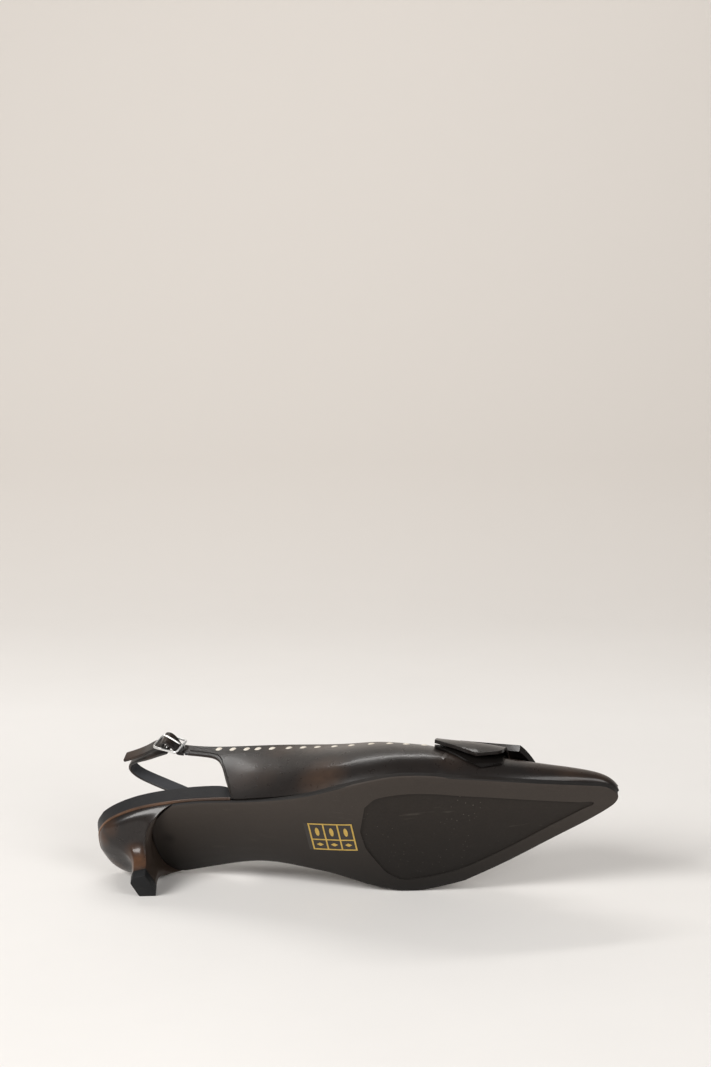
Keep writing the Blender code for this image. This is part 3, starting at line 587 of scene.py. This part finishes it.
def makeLeaf(look):
    deselect()
    bpy.ops.mesh.primitive_uv_sphere_add(segments=16, ring_count=10, radius=1)
    leaf = bpy.context.object
    long, thick, tall = look["half"]
    lean = Matrix.Rotation(-math.radians(look["slant"]), 3, "Y")
    for vertex in leaf.data.vertices:
        x, y, z = vertex.co
        thin = max(1 - z * z, 0) ** look["point"]
        vertex.co = lean @ Vector((z * long, x * thick * thin, y * tall * thin))
    bpy.ops.object.shade_smooth()
    return leaf


def stitchPlace(spot, ahead, outward, tree):
    spot, outward = Vector(spot), Vector(outward)
    below = Vector((0, 0, np.interp(spot.x, *stitchLook["below"])))
    near, normal, _, _ = tree.find_nearest(spot - below + outward * stitchLook["reach"])
    along = Vector(ahead)
    along = (along - along.dot(normal) * normal).normalized()
    upward = normal.cross(along)
    if upward.dot(spot - near) < 0:
        upward = -upward
    place = Matrix((along, normal, upward)).transposed().to_4x4()
    place.translation = near - normal * stitchLook["sunk"]
    return place


def sewnSpots(side):
    line = np.array([toplineAt(x, side) for x in stations])
    spots = []
    for x in stitchLook["sewn"]:
        at = np.abs(line[:, 0] - x).argmin()
        spots.append((line[at], line[min(at + 2, len(line) - 1)] - line[at - 2], (0, side, 0)))
    return line, spots


lateralLine, lateralSpots = sewnSpots(-1)
medialLine, medialSpots = sewnSpots(1)
throatLine = [point for line in (lateralLine, medialLine[::-1]) for point in line
              if point[0] > stitchLook["throatFrom"]]
throatRun = alongPath(throatLine, stitchLook["fineStep"])
throatSpots = []
for share in stitchLook["throatShares"]:
    at = min(max(int(share * len(throatRun)), 2), len(throatRun) - 3)
    throatSpots.append((throatRun[at], throatRun[at + 2] - throatRun[at - 2], stitchLook["throatOut"]))
leaf = makeLeaf(stitchLook)
stitches = []
for spot, ahead, outward in lateralSpots + throatSpots + medialSpots:
    for tree, way in ((outerTree, 1), (innerTree, -1)):
        stitch = bpy.data.objects.new("whipstitch", leaf.data.copy())
        bpy.context.scene.collection.objects.link(stitch)
        stitch.data.transform(toWorld @ stitchPlace(spot, ahead, Vector(outward) * way, tree))
        stitches.append(stitch)
bpy.data.objects.remove(leaf)
whipstitches = joinAs("toplineWhipstitches", stitches)
faceOutwards(whipstitches)
dress(whipstitches, creamLacing)
carry(whipstitches, "upper_leather")
print("whipstitches", len(stitches))

# Folded edge: a bead round the rear edge of each quarter and on under the strap stub, and a seam beside it.
foldLook = {"bead": 1.25, "beadSides": 3, "seam": 0.5, "seamSides": 2, "seamIn": 2.3, "into": (1, 0, 0.6),
            "heights": (21, 64.5, 0.6), "step": 0.9, "smooth": 9}
folds, seams = [], []
for side in (-1, 1):
    edge = np.array([rearEdgeAt(z, side) for z in np.arange(*foldLook["heights"])])
    edge = evenOut(alongPath(edge, foldLook["step"]), foldLook["smooth"])
    folds.append(roundCord("fold", edge, foldLook["bead"], foldLook["beadSides"]))
    seam = []
    for spot, ahead in zip(edge, np.gradient(edge, axis=0)):
        _, normal, _, _ = outerTree.find_nearest(Vector(spot))
        inward = normal.cross(Vector(ahead)).normalized()
        if inward.dot(Vector(foldLook["into"])) < 0:
            inward = -inward
        seam.append(outerTree.find_nearest(Vector(spot) + inward * foldLook["seamIn"])[0])
    seam = [outerTree.find_nearest(Vector(spot))[0] for spot in evenOut(seam, foldLook["smooth"])]
    seams.append(roundCord("seam", seam, foldLook["seam"], foldLook["seamSides"]))
foldedEdges = joinAs("foldedEdges", folds)
dress(foldedEdges, edgeFold)
carry(foldedEdges, "upper_leather")
foldSeams = joinAs("foldSeams", seams)
dress(foldSeams, seamThread)
carry(foldSeams, "upper_leather")
print("folded edges")

# The sole: resin, a darker recessed panel and an inked edge.
soleLook = {"panelSpot": (190, 2, 0.6), "flat": 14, "edgeSlope": 0.66, "fine": 2, "even": 10, "crisp": 28,
            "rubs": [(150, -39, 2, 30, 0.2), (200, -29, 2, 30, 0.25)]}


# Evens out the lines along which a piece's faces change from one finish to another.
def evenOutlines(piece, rounds):
    finishes, lines = {}, {}
    for face in piece.data.polygons:
        for key in face.edge_keys:
            finishes.setdefault(key, set()).add(face.material_index)
    for (first, second), used in finishes.items():
        if len(used) > 1:
            lines.setdefault(first, []).append(second)
            lines.setdefault(second, []).append(first)
    corners = {at: piece.data.vertices[at].co.copy() for at in lines}
    for _ in range(rounds):
        evened = dict(corners)
        for at, beside in lines.items():
            if len(beside) == 2:
                evened[at] = corners[at] / 2 + (corners[beside[0]] + corners[beside[1]]) / 4
        corners = evened
    for at, place in corners.items():
        piece.data.vertices[at].co = place


sole = copyNode("outsole", "soleBody")
bpy.context.tool_settings.mesh_select_mode = (False, False, True)
bpy.ops.object.mode_set(mode="EDIT")
bpy.ops.mesh.select_all(action="DESELECT")
bpy.ops.object.mode_set(mode="OBJECT")
dress(sole, soleResin, panelResin, inkedEdge, panelResin)  # the last is for the recess's low wall
sortFaces(sole, lambda middle, normal: 2 if abs(normal.z) < soleLook["edgeSlope"] or normal.z > 0 else 0)
spot = toWorld @ Vector(soleLook["panelSpot"])
seed = min((face for face in sole.data.polygons if face.material_index == 0),
           key=lambda face: (face.center - spot).length)
seed.select = True
bpy.ops.object.mode_set(mode="EDIT")
bpy.ops.mesh.faces_select_linked_flat(sharpness=math.radians(soleLook["flat"]))
sole.active_material_index = 1
bpy.ops.object.material_slot_assign()
bpy.ops.object.mode_set(mode="OBJECT")
panelCorners = {corner for face in sole.data.polygons if face.material_index == 1
                for corner in face.vertices}
for face in sole.data.polygons:
    if face.material_index != 1 and panelCorners & set(face.vertices):
        face.material_index = 3
bpy.context.tool_settings.mesh_select_mode = (True, False, False)
finishWith(sole, "SUBSURF", subdivision_type="SIMPLE", levels=soleLook["fine"],
           render_levels=soleLook["fine"])
evenOutlines(sole, soleLook["even"])
pick(sole)
bpy.ops.object.shade_smooth_by_angle(angle=math.radians(soleLook["crisp"]))
paint(sole, "rub", soleLook["rubs"])
carry(sole, "sole_resin", "outsole")
soleTree = BVHTree.FromObject(sole, bpy.context.evaluated_depsgraph_get())
print("sole, panel faces", sum(face.material_index == 1 for face in sole.data.polygons))

# The label on the waist of the sole: a dark film with a gold grid and plain marks.
labelLook = {"middle": (124.6, -5.1), "width": 21.2, "height": 17.4, "turn": 4.0, "below": -30,
             "film": (24.0, 18.6), "filmShift": -1.0, "filmLift": 0.06, "thick": 0.05, "cell": 1.5,
             "line": 0.75, "lineLift": 0.12, "postLift": 0.02, "rowShare": 0.61,
             "posts": (-1 / 2, -1 / 6, 1 / 6, 1 / 2), "marks": (-1 / 3, 0, 1 / 3),
             "oval": (2.0, 5.6), "ovalCorners": 20, "diamond": (3.6, 2.3), "diamondCorners": 4}


# Settles a flat primitive of unit size on the sole, at a middle and a size in the label's millimetres.
def settleOnSole(name, middle, size, lift):
    piece = bpy.context.object
    piece.name = name
    angle = math.radians(labelLook["turn"])
    for vertex in piece.data.vertices:
        x = middle[0] + vertex.co.x * size[0]
        y = middle[1] + vertex.co.y * size[1]
        flat = Vector((labelLook["middle"][0] + x * math.cos(angle) - y * math.sin(angle),
                       labelLook["middle"][1] + x * math.sin(angle) + y * math.cos(angle),
                       labelLook["below"]))
        hit, _, _, _ = soleTree.ray_cast(toWorld @ flat, shoeUp)
        vertex.co = hit - shoeUp * lift * mm
    finishWith(piece, "SOLIDIFY", thickness=labelLook["thick"] * mm, offset=0)
    faceOutwards(piece)
    return piece


def layStrip(name, middle, size, lift):
    deselect()
    across, along = (max(int(length / labelLook["cell"]), 1) + 1 for length in size)
    bpy.ops.mesh.primitive_grid_add(x_subdivisions=across, y_subdivisions=along, size=1)
    return settleOnSole(name, middle, size, lift)


def layMark(name, corners, middle, size, lift):
    deselect()
    bpy.ops.mesh.primitive_circle_add(vertices=corners, radius=0.5, fill_type="TRIFAN")
    return settleOnSole(name, middle, size, lift)


wide, tall, line = labelLook["width"], labelLook["height"], labelLook["line"]
film = layStrip("soleLabelFilm", (labelLook["filmShift"], 0), labelLook["film"], labelLook["filmLift"])
dress(film, labelFilm)
carry(film, "sole_resin")
midRow = (labelLook["rowShare"] - 0.5) * tall
barLift, postLift = labelLook["lineLift"], labelLook["lineLift"] + labelLook["postLift"]
gold = [layStrip("gridBar", (0, y), (wide + line, line), barLift) for y in (-tall / 2, midRow, tall / 2)]
gold += [layStrip("gridPost", (x * wide, 0), (line, tall), postLift) for x in labelLook["posts"]]
for x in labelLook["marks"]:
    ovalAt, diamondAt = (x * wide, (midRow - tall / 2) / 2), (x * wide, (midRow + tall / 2) / 2)
    gold.append(layMark("ovalMark", labelLook["ovalCorners"], ovalAt, labelLook["oval"], barLift))
    gold.append(layMark("diamondMark", labelLook["diamondCorners"], diamondAt, labelLook["diamond"], barLift))
goldGrid = joinAs("soleLabelGrid", gold)
dress(goldGrid, goldFoil)
carry(goldGrid, "buckle_metal")
print("label")

# Heel, top lift, rand and footbed.
heelLook = {"edge": 0.45, "sharp": 55, "levels": 2, "breastSlope": 0.5, "breastFrom": 27,
            "rubs": [(24, -5, 11, 8, 0.75), (23, -4, 16, 9, 0.4), (12, -15, 29, 7, 0.25),
                     (28, -6, 9, 5, 0.6), (5, -9, 29, 7, 0.35), (26, 9, 12, 8, 0.4), (8, 10, 28, 8, 0.25)]}
heel = copyNode("heel", "heelBody")
roundEdges(heel, heelLook["edge"], heelLook["sharp"])
soften(heel, heelLook["levels"])
paint(heel, "rub", heelLook["rubs"])
dress(heel, heelCover, breastCover)
sortFaces(heel, lambda middle, normal: 1 if normal.x > heelLook["breastSlope"]
          and middle.x > heelLook["breastFrom"] else 0)
carry(heel, "heel_cover", "heel")

liftLook = {"edge": 0.35, "sharp": 30, "crisp": 35}
lift = copyNode("top_lift", "topLift")
roundEdges(lift, liftLook["edge"], liftLook["sharp"])
pick(lift)
bpy.ops.object.shade_smooth_by_angle(angle=math.radians(liftLook["crisp"]))
dress(lift, liftRubber)
carry(lift, "lift_rubber", "top_lift")

randLook = {"edge": 0.4, "levels": 2,
            "rubs": [(6, -12, 34, 15, 1.0), (20, -20, 33, 14, 0.55), (40, -23, 31, 16, 0.45),
                     (10, 15, 34, 18, 0.6), (45, 22, 30, 20, 0.35)]}
rand = copyNode("seat_rand", "seatRand")
roundEdges(rand, randLook["edge"])
soften(rand, randLook["levels"])
paint(rand, "rub", randLook["rubs"])
dress(rand, randLeather)
carry(rand, "burnished_edge", "seat_rand")

footbedLook = {"edge": 0.45, "sharp": 55, "levels": 2, "lined": 0.75}
footbed = copyNode("insole", "footbedLeather")
roundEdges(footbed, footbedLook["edge"], footbedLook["sharp"])
soften(footbed, footbedLook["levels"])
dress(footbed, seatLeather, liningLeather)
sortFaces(footbed, lambda middle, normal: 1 if normal.z > footbedLook["lined"] else 0)
carry(footbed, "footbed_leather", "insole")
print("heel and footbed")

# Straps: leather outside, lining towards the ankle.
strapLook = {"edge": 0.4, "levels": 2, "ankle": (46, -4), "lined": 0.55,
             "endFrom": 49.5, "endReach": (1.8, 0.25, -0.3),
             "rubs": {"sling_strap": [(15, -1, 89, 9, 0.5), (31, -14, 79, 9, 0.4)],
                      "tail_strap": [(20, -13, 83, 12, 0.6), (43, -28, 73, 5, 0.5)]}}


# Lets the sling strap's medial end run on into the quarter's stub, so that no slit shows between them.
def reachStub(strap):
    for vertex in strap.data.vertices:
        point = toShoe @ vertex.co
        if point.x > strapLook["endFrom"] and point.y > 0:
            vertex.co = toWorld @ (point + Vector(strapLook["endReach"]))


def towardsAnkle(middle, normal):
    x, y = strapLook["ankle"]
    inward = Vector((x - middle.x, y - middle.y, 0)).normalized()
    return normal.dot(inward) > strapLook["lined"]


for node, name in (("sling_strap", "slingStrap"), ("tail_strap", "tailStrap")):
    strap = copyNode(node, name)
    reachStub(strap)
    roundEdges(strap, strapLook["edge"])
    soften(strap, strapLook["levels"])
    paint(strap, "rub", strapLook["rubs"][node])
    dress(strap, burnished, liningLeather)
    sortFaces(strap, lambda middle, normal: 1 if towardsAnkle(middle, normal) else 0)
    carry(strap, "upper_leather", node)

buckleLook = {"levels": 1, "wires": {"buckle_frame": "buckleFrame", "buckle_bar": "buckleBar",
                                     "buckle_prong": "buckleProng"}}
for node, name in buckleLook["wires"].items():
    wire = copyNode(node, name)
    soften(wire, buckleLook["levels"])
    dress(wire, buckleMetal)
    carry(wire, "buckle_metal", node)
print("straps and buckle")

# The bow: a ply on the vamp, stiff wings, a loop and a band, with rounded edges.
bowLook = {"levels": 2, "edges": {"bow_under": 0.3, "bow_wings": 0.35, "bow_loop": 0.5, "bow_band": 0.4},
           "rubs": [(200, -25, 33, 14, 0.25), (214, -10, 36, 10, 0.4), (190, -14, 45, 12, 0.25),
                    (222, 4, 34, 9, 0.5)]}
# The ply is dressed in a darker leather, as painted shade under the wings.
for node, name, finish in (("bow_under", "bowPly", shadedPlyLeather), ("bow_wings", "bowWings", burnished),
                           ("bow_loop", "bowLoop", burnished), ("bow_band", "bowBand", burnished)):
    layer = copyNode(node, name)
    roundEdges(layer, bowLook["edges"][node])
    soften(layer, bowLook["levels"])
    paint(layer, "rub", bowLook["rubs"])
    dress(layer, finish)
    carry(layer, "upper_leather", node)
print("bow")

# Stage: a pale floor that sweeps up behind it, a strip light above and behind the shoe, and two
# large soft lights in front.
stageLook = {"front": 2.2, "back": 0.55, "half": 3.0, "radius": 0.7, "wall": 1.6, "steps": 16,
             "paper": (0.80, 0.785, 0.768), "sweepShade": (0.61, 0.575, 0.54), "sweepShadeReach": (0.3, 0.85),
             "rough": 0.7, "specular": 0.2, "mottle": 0.97, "mottleScale": 5, "near": 0.001,
             "world": (1.0, 0.975, 0.95), "worldStrength": 0.2}


def makeStage(look):
    deselect()
    bpy.ops.mesh.primitive_plane_add(size=1, location=(0, 0, 0))
    floor = bpy.context.object
    floor.name = "studioFloor"
    floor.scale = (look["half"] * 2, look["front"] + look["back"], 1)
    floor.location = (0, (look["back"] - look["front"]) / 2, 0)
    bpy.ops.object.transform_apply(location=True, rotation=False, scale=True)
    for edge in floor.data.edges:
        ends = [floor.data.vertices[at].co.y for at in edge.vertices]
        edge.select = all(abs(y - look["back"]) < look["near"] for y in ends)
    for face in floor.data.polygons:
        face.select = False
    for vertex in floor.data.vertices:
        vertex.select = abs(vertex.co.y - look["back"]) < look["near"]
    bpy.ops.object.mode_set(mode="EDIT")
    bpy.ops.mesh.select_mode(type="EDGE")
    turns = [math.pi / 2 * step / look["steps"] for step in range(look["steps"] + 1)]
    moves = [(0, look["radius"] * (math.sin(b) - math.sin(a)), look["radius"] * (math.cos(a) - math.cos(b)))
             for a, b in zip(turns, turns[1:])] + [(0, 0, look["wall"])]
    for move in moves:
        bpy.ops.mesh.extrude_region_move(TRANSFORM_OT_translate={"value": move})
    faceOutwards(floor)
    bpy.ops.object.shade_smooth()
    paper, tree, shader = startMaterial("studioPaper")
    shader.inputs["Roughness"].default_value = look["rough"]
    shader.inputs["Specular IOR Level"].default_value = look["specular"]
    clouds = placeGroup(tree, patchGroup, Scale=look["mottleScale"], From=0.35, To=0.7).outputs["Mask"]
    shade = tuple(value * look["mottle"] for value in look["paper"])
    tone = mixColours(tree, clouds, (*look["paper"], 1), (*shade, 1))
    place = addNode(tree, "TexCoord").outputs["Object"]
    # Painted shade: the paper darkens towards the back, where it sweeps up.
    depth = addNode(tree, "SeparateXYZ", {"Vector": place}).outputs["Y"]
    tone = mixColours(tree, rangeOf(tree, depth, *look["sweepShadeReach"], 0, 1), tone, (*look["sweepShade"], 1))
    tree.links.new(tone, shader.inputs["Base Color"])
    floor.data.materials.append(paper)


lampLook = {
    "tint": (1.0, 0.985, 0.965), "spread": 180,
    "lamps": {
        "backStrip": {"place": (-0.3, 0.8, 1.1), "aim": (0, 0, 0.03), "size": (1.0, 0.12), "power": 4.2},
        "leftFront": {"place": (-1.4, -1.4, 1.35), "aim": (0, 0.1, 0.0), "size": (1.1, 0.9), "power": 52},
        "rightFront": {"place": (1.4, -1.6, 1.1), "aim": (0, 0.1, 0.0), "size": (1.2, 1.0), "power": 27}},
}


def softLight(name, look):
    light = bpy.data.lights.new(name, "AREA")
    light.shape = "RECTANGLE"
    light.size, light.size_y = look["size"]
    light.energy, light.spread = look["power"], math.radians(lampLook["spread"])
    light.color = lampLook["tint"]
    lamp = bpy.data.objects.new(name, light)
    bpy.context.scene.collection.objects.link(lamp)
    lamp.location = look["place"]
    lamp.rotation_euler = (Vector(look["aim"]) - lamp.location).to_track_quat("-Z", "Y").to_euler()


makeStage(stageLook)
for name, look in lampLook["lamps"].items():
    softLight(name, look)
world = bpy.data.worlds.new("studioAir")
world.use_nodes = True
world.node_tree.nodes["Background"].inputs["Color"].default_value = (*stageLook["world"], 1)
world.node_tree.nodes["Background"].inputs["Strength"].default_value = stageLook["worldStrength"]
bpy.context.scene.world = world
bpy.context.scene.view_settings.view_transform = "Standard"
print("stage and lights")

# The camera, set in the shoe's own frame so that its angle to the shoe is the photograph's.
cameraLook = {"eye": (328.2, -801.85, -847.8), "looks": (-0.13968, 0.58241, 0.8008),
              "right": (0.97121, 0.2382, -0.00384), "focal": 2400, "tall": 1067, "sensor": 36,
              "nearest": 0.01}
camera = bpy.data.cameras.new("photoCamera")
camera.sensor_width = cameraLook["sensor"]
camera.lens = cameraLook["focal"] * cameraLook["sensor"] / cameraLook["tall"]
camera.clip_start = cameraLook["nearest"]
view = bpy.data.objects.new("photoCamera", camera)
bpy.context.scene.collection.objects.link(view)
sideways = turn @ Vector(cameraLook["right"])
backwards = -(turn @ Vector(cameraLook["looks"]))
view.matrix_world = Matrix((sideways, backwards.cross(sideways), backwards)).transposed().to_4x4()
view.matrix_world.translation = toWorld @ Vector(cameraLook["eye"])
bpy.context.scene.camera = view
print("camera")
